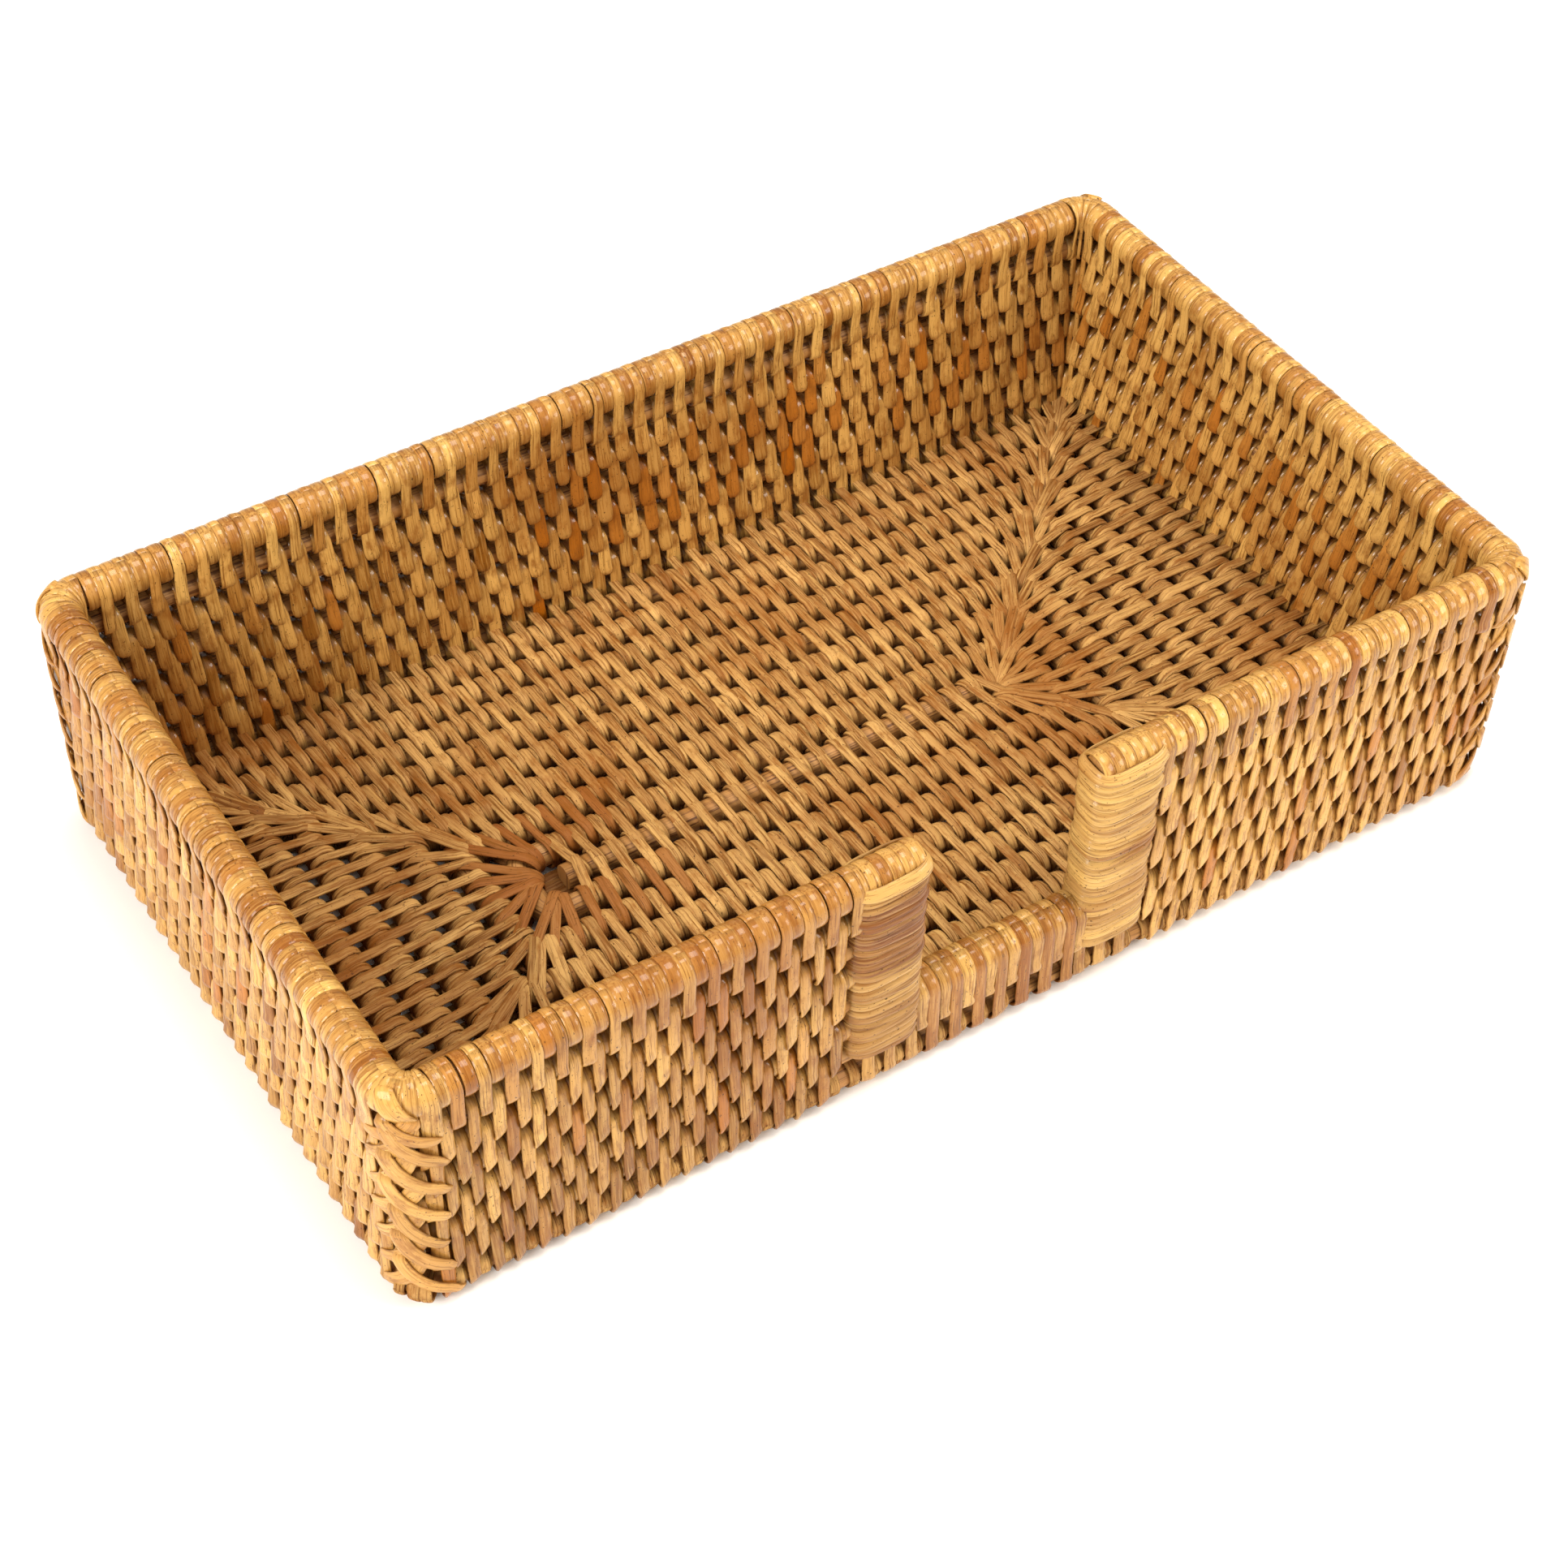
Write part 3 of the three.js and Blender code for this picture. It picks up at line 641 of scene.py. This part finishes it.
def wall_field(point, out, low, high, light, warm, lean, inner_lean, roll, width=2.62,
               taper=0.22, rounding=0.15, belly=0.08, short=2.45):
    """The stitches of one wall, from low to high along it: a long one to every second column
    of a course and a short one in between. light(s, k) and warm(s, k) give their tones."""
    sweeps = Sweeps(STRIP_EDGE)
    for k in range(2, COURSES + 1):
        for column in range(math.ceil(low / COLUMN), math.floor(high / COLUMN) + 1):
            if (column + k) % 2:
                continue
            s = column * COLUMN + random.gauss(0, 0.12)
            tone = tone_of(light(s, k), 0.24, warm(s, k), 0.08)
            stitch(sweeps, point(s, COURSE_Z[k]), point(s, COURSE_Z[k - 1]), out,
                   random.gauss(width, 0.14), tone, lean=lean + random.gauss(0, 0.25), dive=0.8,
                   inner_lean=inner_lean + random.gauss(0, 0.25), roll=roll, taper=taper,
                   rounding=rounding, belly=belly)
            short_stitch(sweeps, point(s + COLUMN, COURSE_Z[k]), (0, 0, -1), short, out)
            if k == 2:
                short_stitch(sweeps, point(s + COLUMN, COURSE_Z[1]), (0, 0, -1), short, out)
    return sweeps


def front(s, z):
    """A place on the front wall's centre plane."""
    return (s, -HALF_Y, z)


def back(s, z):
    return (s, HALF_Y, z)


def left(s, z):
    return (-HALF_X, s, z)


def right(s, z):
    return (HALF_X, s, z)


def browner_below(s, k):
    """The lower courses of the front are bound with browner strips."""
    return 0.28 if k <= 3 else 0.54


def painted_shade_to_the_left(s, k):
    """Painted shade: the rear wall's strips are drawn darker towards the left, where the left wall
    shades them, and paler towards the right.
    """
    return 0.66 + 0.24 * s / HALF_X


def now_and_then(s, k):
    """Warmth of a wall strip: now and then a strip comes from a browner cane."""
    return 0.7 if random.random() < 0.06 else 0.05


def orange_row(s, k):
    """The right wall has short runs of orange strips on its top course but one."""
    return 0.7 if k == COURSES - 1 and s % 9 > 4 else now_and_then(s, k)


def orange_run(s, k):
    """The rear wall has a run of orange strips high up on its right half."""
    chance = 0.32 if s > -10 and 4 <= k <= 6 else 0.05
    return random.uniform(0.55, 0.9) if random.random() < chance else 0.05


EDGE_X = HALF_X - COURSE_BEND + 0.3     # where the stitches stop beside the corners
EDGE_Y = HALF_Y - COURSE_BEND + 0.3
BESIDE_POST = POST_OUT + 0.8            # and beside the posts
WALLS = {
    "front_left": dict(point=front, out=(0, -1, 0), low=-EDGE_X, high=-BESIDE_POST,
                       light=browner_below, warm=now_and_then, lean=0.0, inner_lean=0.0,
                       roll=(25.0, 10.0)),
    "front_right": dict(point=front, out=(0, -1, 0), low=BESIDE_POST, high=EDGE_X,
                        light=lambda s, k: 0.95, warm=now_and_then, lean=-1.3, inner_lean=0.0,
                        roll=(20.0, -10.0), width=2.9, taper=0.3, rounding=0.6, belly=0.25),
    "left": dict(point=left, out=(-1, 0, 0), low=-EDGE_Y, high=EDGE_Y,
                 light=lambda s, k: 0.6, warm=now_and_then, lean=0.6, inner_lean=0.0,
                 roll=(24.0, 10.0), width=2.4, taper=0.1, rounding=0.2, belly=0.1, short=2.45),
    "right": dict(point=right, out=(1, 0, 0), low=-EDGE_Y, high=EDGE_Y,
                  light=lambda s, k: 0.9, warm=orange_row, lean=0.4, inner_lean=1.5,
                  roll=(16.0, -12.0), width=2.2, taper=0.4, rounding=0.7, belly=0.3),
    "back": dict(point=back, out=(0, 1, 0), low=-EDGE_X, high=EDGE_X,
                 light=painted_shade_to_the_left, warm=orange_run, lean=0.4, inner_lean=-0.6,
                 roll=(16.0, 10.0), width=2.4, taper=0.0, rounding=0.7, belly=0.36),
}
random.seed(201)
for name, wall in WALLS.items():
    wall_field(**wall).piece(f"wall_stitches_{name}", WALL_STRIP, "wall_strip", f"weave_{name}")

base = Sweeps(STRIP_EDGE)
for column in range(math.ceil(-POST_OUT / COLUMN), math.floor(POST_OUT / COLUMN) + 1):
    s = column * COLUMN
    if column % 2 == 0 and abs(s) > POST_IN:
        stitch(base, front(s, COURSE_Z[2]), front(s, COURSE_Z[1]), (0, -1, 0), 2.5,
               tone_of(0.5, 0.12), dive=1.0)
base.piece("wall_stitches_under_posts", WALL_STRIP, "wall_strip", "weave_front_base")


# ---- Corner lashings ---------------------------------------------------------------------------
# Curved strips over each outer corner, one to a course and to each side: each starts at the
# corner, sweeps down along the wall and tucks in under the next course. A broad strip ties the
# rim down over them.

LASHING = strip_surface("rattan peel, varnished corner strips",
                        "955814", "e6ae5a", "b8620f", 0.42, 0.3)


def round_corner(sign_x, sign_y, s, bend):
    """A place on the walls' centre line, s to one side of a corner's middle, and its outward
    direction."""
    centre = np.array([sign_x * (HALF_X - bend), sign_y * (HALF_Y - bend)])
    middle = math.atan2(sign_y, sign_x)
    reach = bend * math.pi / 4
    angle = middle + max(-reach, min(reach, s)) / bend
    out = np.array([math.cos(angle), math.sin(angle)])
    beyond = s - max(-reach, min(reach, s))
    place = centre + out * bend + np.array([-out[1], out[0]]) * beyond
    return np.array([*place, 0.0]), np.array([*out, 0.0])


CLAW_REACH = 6.2        # how far a claw runs from the corner along the wall
CLAW_ENDS = 1.7         # from the rods' centre line to its ends
CLAW_RISE = 1.9         # how much further out its middle is


def corner_claw(sweeps, sign_x, sign_y, way, top, bottom, proud, half_width):
    """One curved strip: way is +1 or -1 along the wall, from height top to height bottom. proud
    lifts it over the one that it crosses."""
    steps = np.linspace(0, 1, 19)
    reach = random.gauss(CLAW_REACH, 0.5)
    start = random.uniform(-1.8, -0.8)
    line, normals = [], []
    for t in steps:
        s = way * (start + (reach - start) * t ** 2)
        height = top + (bottom - top) * t ** 0.85
        place, out = round_corner(sign_x, sign_y, s, COURSE_BEND)
        tuck = min(1.0, t / 0.10, (1 - t) / 0.14)
        off = CLAW_ENDS + (proud + CLAW_RISE) * tuck ** 0.6
        line.append(place + out * off + UP * height)
        normals.append(out)
    widths = half_width * (1 - 0.85 * steps ** 3) * np.minimum(1, 0.5 + steps * 3)
    # Painted shade at both ends, where the claw tucks in under the courses.
    tucked = np.clip(1 - np.minimum(steps / 0.12, (1 - steps) / 0.08), 0, 1)
    line, normals = np.array(line), np.array(normals)
    if way > 0:
        line, normals, widths, tucked = line[::-1], normals[::-1], widths[::-1], tucked[::-1]
    sweeps.add(line, normals, STRIP, widths, tone_of(0.72, 0.14, 0.05), tucked=tucked)


TIE_RADIUS = 4.25       # from the rim rod's centre line to the tie, which dips at its ends
TIE_DIP = 1.4
TIE_HALF_WIDTH = 2.1


def corner_tie(sweeps, sign_x, sign_y):
    """A broad strip that comes down over the rim at the corner and tucks in behind the claws."""
    steps = np.linspace(0, 1, 17)
    line, normals = [], []
    for t in steps:
        place, out = round_corner(sign_x, sign_y, -1.2 + 3.4 * t ** 1.5, RIM_BEND)
        angle = math.radians(75 - 125 * t)
        ends = max(0.0, 1 - t / 0.12) + max(0.0, 1 - (1 - t) / 0.12)
        normal = out * math.cos(angle) + UP * math.sin(angle)
        line.append(place + UP * RIM_Z + normal * (TIE_RADIUS - TIE_DIP * ends))
        normals.append(normal)
    widths = TIE_HALF_WIDTH * np.sin(math.pi * (0.12 + 0.76 * steps)) ** 0.7
    sweeps.add(np.array(line), np.array(normals), STRIP, widths, (0.85, 0.0))


def corner_stitches(sweeps, sign_x, sign_y):
    """Stitches that stand square to the bend, wider outside and narrower inside."""
    for k in range(2, COURSES + 1):
        places = (-3.0, 3.0) if k % 2 else (0.0,)
        for s in places:
            place, out = round_corner(sign_x, sign_y, s, COURSE_BEND)
            stitch(sweeps, place + UP * COURSE_Z[k], place + UP * COURSE_Z[k - 1], out, 2.2,
                   tone_of(0.5, 0.12), lifts=(0.0, 0.15),
                   spread=lambda flat: np.clip(1 + 0.6 * flat[:, 1] / COURSE_BEND, 0.45, 1.5))


CORNERS = {"front_left": (-1, -1), "back_left": (-1, 1), "back_right": (1, 1),
           "front_right": (1, -1)}
for number, (name, (sign_x, sign_y)) in enumerate(CORNERS.items()):
    random.seed(301 + number)
    sweeps = Sweeps(STRIP_EDGE)
    corner_stitches(sweeps, sign_x, sign_y)
    for k in range(1, COURSES + 1):
        top = min(COURSE_Z[k] + 1.8 * COURSE_PITCH, RIM_Z - 1.0)
        bottom = COURSE_Z[k] - 2.2
        for way in (1, -1):
            corner_claw(sweeps, sign_x, sign_y, way, top, bottom, 0.5 if way > 0 else 0.0,
                        random.uniform(1.6, 1.95))
    corner_tie(sweeps, sign_x, sign_y)
    sweeps.piece(f"corner_lashing_{name}_strips", LASHING, "lashing_strip",
                 f"corner_lashing_{name}")


# ---- Rim wraps ---------------------------------------------------------------------------------
# Strips wound close together over the rim rod. Every second one goes on down over the top
# course and ties the rim to the wall; the others go round the rim only.

RIM_STRIP = strip_surface("rattan peel, glossy rim strips",
                          "8f5212", "ecb863", "b06410", 0.36, 0.45, 0.8)
RIM_WRAP = 3.75         # from the rim rod's centre to the face of a strip that goes on down
SHORT_WRAP = RIM_WRAP - 0.06        # to the face of one that goes round the rim only
END_WRAP = RIM_WRAP - 0.15          # and of one over a post
END_WRAPS = 6
CORNER_STEP = 1.75      # spacing of the wraps at a corner


def rim_loop(sweeps, place, out, long, width, tone, bend=None, lean=0.2):
    """One wrap of the rim: long ones go on down round the top course. At a corner, bend is the
    rim's bend radius, and the wrap widens on the outside of it."""
    top = np.array(place) + UP * RIM_Z
    spread = (lambda flat: np.clip(1 + flat[:, 1] / bend, 0.3, 1.75)) if bend else None
    if long:
        below = np.array(place) + UP * COURSE_Z[COURSES]
        stitch(sweeps, top, below, out, width, tone, lean=lean, inner_lean=lean,
               radii=(RIM_WRAP - STRIP_THICKNESS, ROD_RADIUS), lifts=(0.0, 0.5), taper=0.05,
               tucks=(0.0, 1.0), spread=spread)
    else:
        single_loop(sweeps, top, out, SHORT_WRAP, width, tone, spread)


def rim_run(sweeps, point, out, low, high, light, long_light):
    """The wraps of one straight stretch of rim: light is the tone of those round the rim only."""
    for column in range(math.ceil(low / COLUMN), math.floor(high / COLUMN) + 1):
        s = column * COLUMN + random.gauss(0, 0.12)
        long = column % 2 == 0
        tone = tone_of(long_light if long else light, 0.2, 0.15, 0.18)
        rim_loop(sweeps, point(s, 0.0), out, long, random.gauss(2.35 if long else 2.65, 0.12), tone)


def rim_piece(sweeps, name, *nodes):
    sweeps.piece(name, RIM_STRIP, "rim_strip", *nodes)


RIM_EDGE_X = HALF_X - RIM_BEND - 0.5    # where the straight runs stop beside the corners
RIM_EDGE_Y = HALF_Y - RIM_BEND - 0.5
random.seed(401)
RUNS = {
    "back": (back, (0, 1, 0), -RIM_EDGE_X, RIM_EDGE_X, 0.42, 0.75),
    "right": (right, (1, 0, 0), -RIM_EDGE_Y, RIM_EDGE_Y, 0.45, 0.95),
    "left": (left, (-1, 0, 0), -RIM_EDGE_Y, RIM_EDGE_Y, 0.35, 0.58),
    "front_left": (front, (0, -1, 0), -RIM_EDGE_X, -POST_OUT, 0.42, 0.65),
    "front_right": (front, (0, -1, 0), POST_OUT, RIM_EDGE_X, 0.9, 0.45),
}
for name, (point, out, low, high, light, long_light) in RUNS.items():
    sweeps = Sweeps(STRIP_EDGE)
    rim_run(sweeps, point, out, low, high, light, long_light)
    if name.startswith("front"):
        side = 1 if name == "front_right" else -1
        for column in range(END_WRAPS):
            x = side * (POST_OUT - 1.2 - column * COLUMN)
            single_loop(sweeps, np.array([x, -HALF_Y, RIM_Z]), (0, -1, 0), END_WRAP, 2.4,
                        tone_of(0.55 + 0.35 * (column % 2), 0.1, 0.1, 0.1))
    rim_piece(sweeps, f"rim_wraps_{name}", f"rim_wrap_{name}")

for number, (name, (sign_x, sign_y)) in enumerate(CORNERS.items()):
    random.seed(451 + number)
    sweeps = Sweeps(STRIP_EDGE)
    for step in range(-2, 3):
        place, out = round_corner(sign_x, sign_y, step * CORNER_STEP, RIM_BEND)
        rim_loop(sweeps, place, out, step % 2 == 0, 2.1, tone_of(0.66, 0.12), RIM_BEND)
    rim_piece(sweeps, f"rim_wraps_corner_{name}", f"rim_wrap_corner_{name}")


# ---- Sill wraps --------------------------------------------------------------------------------
# The sill of the cut-out is wound like the rim: pale strips go round the sill rod and the
# course under it, brown ones go on down under the lowest course.

SILL_COLUMN = 2.5
sill_side = math.floor(POST_IN / SILL_COLUMN)
random.seed(501)
sweeps = Sweeps(STRIP_EDGE)
for column in range(-sill_side, sill_side + 1):
    s = column * SILL_COLUMN
    brown = column % 2 == 0
    lowest = COURSE_Z[1] if brown else COURSE_Z[2]
    tone = tone_of(0.15, 0.08, 0.2, 0.1) if brown else tone_of(0.6, 0.12)
    stitch(sweeps, front(s, SILL_Z), front(s, lowest), (0, -1, 0), random.gauss(2.75, 0.1), tone,
           lean=0.9 + random.gauss(0, 0.15), inner_lean=0.9,
           radii=(RIM_WRAP - STRIP_THICKNESS, ROD_RADIUS), taper=0.05,
           lifts=(0.05, 0.75 if brown else 0.55), tucks=(0.0, 1.0))
rim_piece(sweeps, "sill_wraps", "sill_wrap", "weave_front_sill")


# ---- Post bindings -----------------------------------------------------------------------------
# Strips wound level round the ends of the courses beside the cut-out, from just under the top
# of the rim down to the lowest course but one.

POST_STRIP = strip_surface("rattan peel, narrow binding strips",
                           "80492b", "eabb6c", "a5652a", 0.38, 0.25, 0.75, 0.04)
POST_STRIP_EDGE = 0.95      # painted shade along the belts' edges: the dark lines between the belts
BELT_SQUARENESS = 3.4       # power of the belt's plan: 2 is an ellipse, more is squarer
BELT_HALF_Y = 4.15


def belt(sweeps, side, height, width, tone, swell, tilt):
    """One strip round a post, with a plan between an ellipse and a rectangle. swell moves it
    outwards and tilt raises its outer side."""
    turns = np.linspace(0, 2 * math.pi, 44, False)
    half_x = (POST_OUT - POST_IN) / 2 - 0.25 + swell
    half_y = BELT_HALF_Y + swell
    power = 2 / BELT_SQUARENESS
    x = half_x * np.sign(np.cos(turns)) * np.abs(np.cos(turns)) ** power
    y = half_y * np.sign(np.sin(turns)) * np.abs(np.sin(turns)) ** power
    z = height + tilt * x / half_x + 0.25 * np.cos(2 * turns + tilt)
    middle = side * (POST_IN + POST_OUT) / 2
    line = np.stack([x + middle, y - HALF_Y, z], -1)
    around = np.roll(line, -1, 0) - np.roll(line, 1, 0)
    normals = unit(np.cross(around, UP))
    lean = math.tan(math.radians(random.gauss(28, 5)))
    normals = unit(normals + UP * lean)
    widths = width / 2 * (1 + 0.08 * np.sin(turns * 2 + random.random() * 6))
    sweeps.add(line[::-1], normals[::-1], STRIP, widths, tone, closed=True)


def post_tone(side, height):
    """The left post is mauve-brown in its upper half, the right one has one darker belt."""
    if side < 0:
        mauve = 34 < height < 51
        return tone_of(0.10, 0.10, 0.15, 0.1) if mauve else tone_of(0.55, 0.16, 0.2, 0.08)
    return tone_of(0.3, 0.1) if 33 < height < 36 else tone_of(0.8, 0.14, 0.0, 0.04)


random.seed(601)
for name, side in (("left", -1), ("right", 1)):
    sweeps = Sweeps(POST_STRIP_EDGE)
    low, high = node_box(f"post_binding_{name}")
    top_belt = high[2] - 3.0
    height = low[2] + 0.9
    while height < top_belt - 0.4:
        width = random.uniform(1.9, 2.6)
        belt(sweeps, side, height, width, post_tone(side, height), random.uniform(0.0, 0.25),
             random.gauss(0, 0.3))
        height += width * random.uniform(0.62, 0.84)
    belt(sweeps, side, top_belt, 2.5, tone_of(0.85, 0.05), 0.45, 0.2)
    sweeps.piece(f"post_binding_{name}_strips", POST_STRIP, "post_strip", f"post_binding_{name}")


# ---- Table, light and camera -------------------------------------------------------------------
# A plain white table under soft studio light: a large lamp on the left, a weaker one at the
# front right and one overhead.

def white_table():
    """Matt white laminate."""
    n = Nodes("plain white table")
    n.put(n.shader.inputs["Base Color"], srgb("fdfdfc"))
    n.put(n.shader.inputs["Roughness"], 0.8)
    return n.material


TABLE_SIZE = 8.0
bpy.ops.mesh.primitive_plane_add(size=TABLE_SIZE, location=(0, 0, 0))
table = bpy.context.object
table.name = "table"
table.data.materials.append(white_table())

world = bpy.data.worlds.new("studio")
world.use_nodes = True
world.node_tree.nodes["Background"].inputs["Color"].default_value = srgb("fffdf8")
world.node_tree.nodes["Background"].inputs["Strength"].default_value = 0.52
bpy.context.scene.world = world


def soft_light(name, place, size, watts, code):
    """A square lamp that faces the basket."""
    data = bpy.data.lights.new(name, "AREA")
    data.shape = "SQUARE"
    data.size = size
    data.energy = watts
    data.color = srgb(code)[:3]
    lamp = bpy.data.objects.new(name, data)
    bpy.context.collection.objects.link(lamp)
    lamp.location = place
    lamp.rotation_mode = "QUATERNION"
    lamp.rotation_quaternion = (-Vector(place)).to_track_quat("-Z", "Y")


bpy.context.scene.view_settings.view_transform = "Standard"

soft_light("left", (-0.9, -0.2, 0.6), 0.5, 11.5, "fffcf6")
soft_light("front_right", (0.45, -0.5, 0.35), 0.3, 2.8, "fff8ee")
soft_light("overhead", (0.2, 0.0, 1.2), 0.6, 11.0, "fffaf2")

AZIMUTH, ELEVATION, ROLL = -34.2, 46.6, 1.83        # degrees
DISTANCE = 0.570        # metres from the target
LENS = 66.7             # focal length in millimetres
TARGET = Vector((0.0, 0.0013, 0.0))


def add_camera():
    """Looks down at the basket over its front wall, from the left."""
    around, above = math.radians(AZIMUTH), math.radians(ELEVATION)
    away = Vector((math.sin(around) * math.cos(above), -math.cos(around) * math.cos(above),
                   math.sin(above)))
    level = (-away).to_track_quat("-Z", "Y")
    data = bpy.data.cameras.new("camera")
    data.lens = LENS
    data.clip_start = 0.05
    camera = bpy.data.objects.new("camera", data)
    bpy.context.collection.objects.link(camera)
    camera.location = TARGET + away * DISTANCE
    camera.rotation_mode = "QUATERNION"
    roll = Matrix.Rotation(math.radians(ROLL), 4, "Z").to_quaternion()
    camera.rotation_quaternion = level @ roll
    bpy.context.scene.camera = camera


add_camera()
